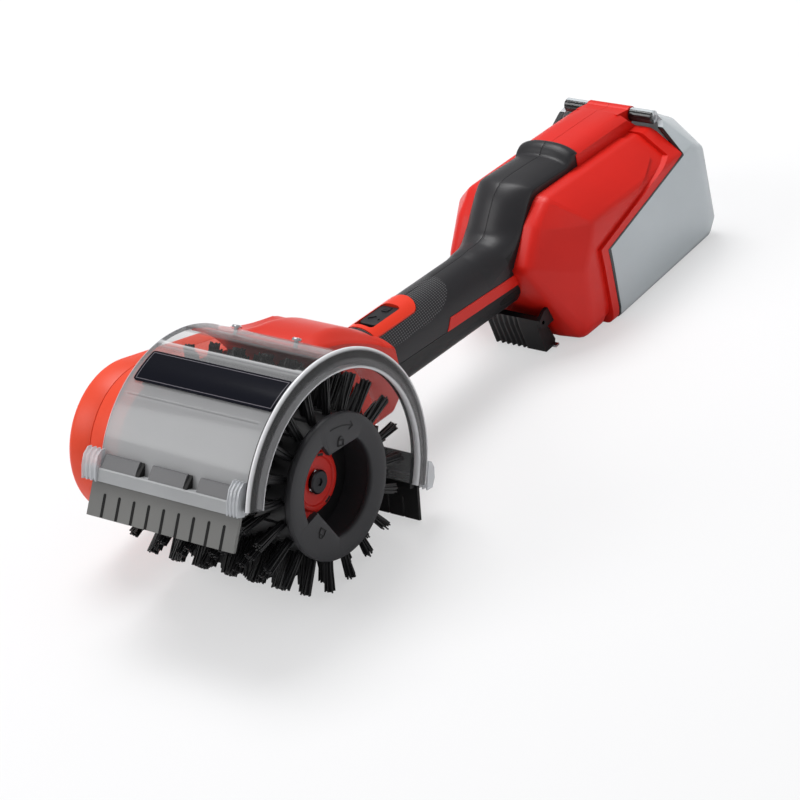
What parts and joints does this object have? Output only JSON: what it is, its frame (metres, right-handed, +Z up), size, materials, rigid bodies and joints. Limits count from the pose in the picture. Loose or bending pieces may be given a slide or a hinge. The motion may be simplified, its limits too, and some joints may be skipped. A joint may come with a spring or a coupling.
{
  "type": "cordless surface brush",
  "caption": "Cordless surface brush: a driven bristle roller under a clear guard, a switch handle and a battery box with a hinged clear cover.",
  "frame": {"origin": "the flat rest face under the front of the battery box, level with the middle of the roller's length", "axes": "+X along the brush axle towards its open end, +Y back along the handle towards the battery box, +Z up"},
  "size_m": [0.1615, 0.4592, 0.1344],
  "materials": {
    "red_plastic": "fine-textured moulded plastic",
    "black_plastic": "matt moulded plastic",
    "charcoal_grip": "soft-touch overmould",
    "clear_plastic": "clear smoke-grey moulded plastic",
    "steel": "bright steel",
    "dark_steel": "blackened steel",
    "grey_rubber": "matt flexible wiper",
    "black_rubber": "matt flexible wiper",
    "label_black": "glossy printed plate, bare",
    "bristle_nylon": "crimped nylon strands",
    "board_green": "coated board",
    "contact_brass": "bare contact metal"
  },
  "bodies": {
    "root": {"splash_guard": "clear_plastic", "label_plate": "label_black", "front_flap_rail": "clear_plastic", "front_flap": "grey_rubber", "rear_flap_rail": "black_plastic", "rear_flap": "black_rubber", "guard_screw_1": "dark_steel", "guard_screw_2": "dark_steel", "drive_case": "red_plastic", "drive_cover": "red_plastic", "side_cap": "charcoal_grip", "bearing_inner": "steel", "bearing_outer": "steel", "drive_belt": "black_rubber", "motor_case": "steel", "head_housing": "red_plastic", "grip_left": "charcoal_grip", "grip_right": "charcoal_grip", "handle_underside": "black_plastic", "inlay_left": "red_plastic", "inlay_right": "red_plastic", "switch_bezel": "red_plastic", "switch_module": "black_plastic", "control_board": "board_green", "box_shell_left": "red_plastic", "box_shell_right": "red_plastic", "hinge_pin": "steel", "latch_pin": "steel", "battery_dock": "black_plastic", "dock_rail_left": "black_plastic", "dock_rail_right": "black_plastic", "contact_left": "contact_brass", "contact_right": "contact_brass"},
    "brush": {"drive_shaft": "steel", "brush_core": "black_plastic", "bristles": "bristle_nylon", "end_rim": "black_plastic", "shaft_screw": "dark_steel", "brush_pulley": "black_plastic"},
    "lock_knob_body": {"lock_knob": "red_plastic"},
    "rotor": {"motor_shaft": "dark_steel", "motor_pulley": "steel"},
    "switch_body": {"power_switch": "black_plastic"},
    "cover": {"battery_cover": "clear_plastic"},
    "latch": {"latch_lever": "black_plastic", "latch_hook": "steel"}
  },
  "joints": [
    {"name": "brush_spin", "type": "hinge", "parent": "root", "child": "brush", "pos_m": [0, -0.252, 0.06], "axis": [1, 0, 0], "continuous": true},
    {"name": "knob_turn", "type": "hinge", "parent": "brush", "child": "lock_knob_body", "pos_m": [0.037, -0.252, 0.06], "axis": [1, 0, 0], "range_deg": [0, 50]},
    {"name": "motor_spin", "type": "hinge", "parent": "root", "child": "rotor", "pos_m": [-0.06, -0.1678, 0.0655], "axis": [1, 0, 0], "continuous": true},
    {"name": "switch_slide", "type": "slide", "parent": "root", "child": "switch_body", "axis": [0, -0.9958, 0.0916], "range_m": [0, 0.0045]},
    {"name": "cover_hinge", "type": "hinge", "parent": "root", "child": "cover", "pos_m": [-0.007, 0.1062, 0.0856], "axis": [1, 0, 0], "range_deg": [0, 100]},
    {"name": "latch_hinge", "type": "hinge", "parent": "root", "child": "latch", "pos_m": [0, -0.0276, 0.022], "axis": [1, 0, 0], "range_deg": [-40, 0]}
  ],
  "couplings": [
    {"joint": "motor_spin", "follows": "brush_spin", "ratio": 4}
  ]
}
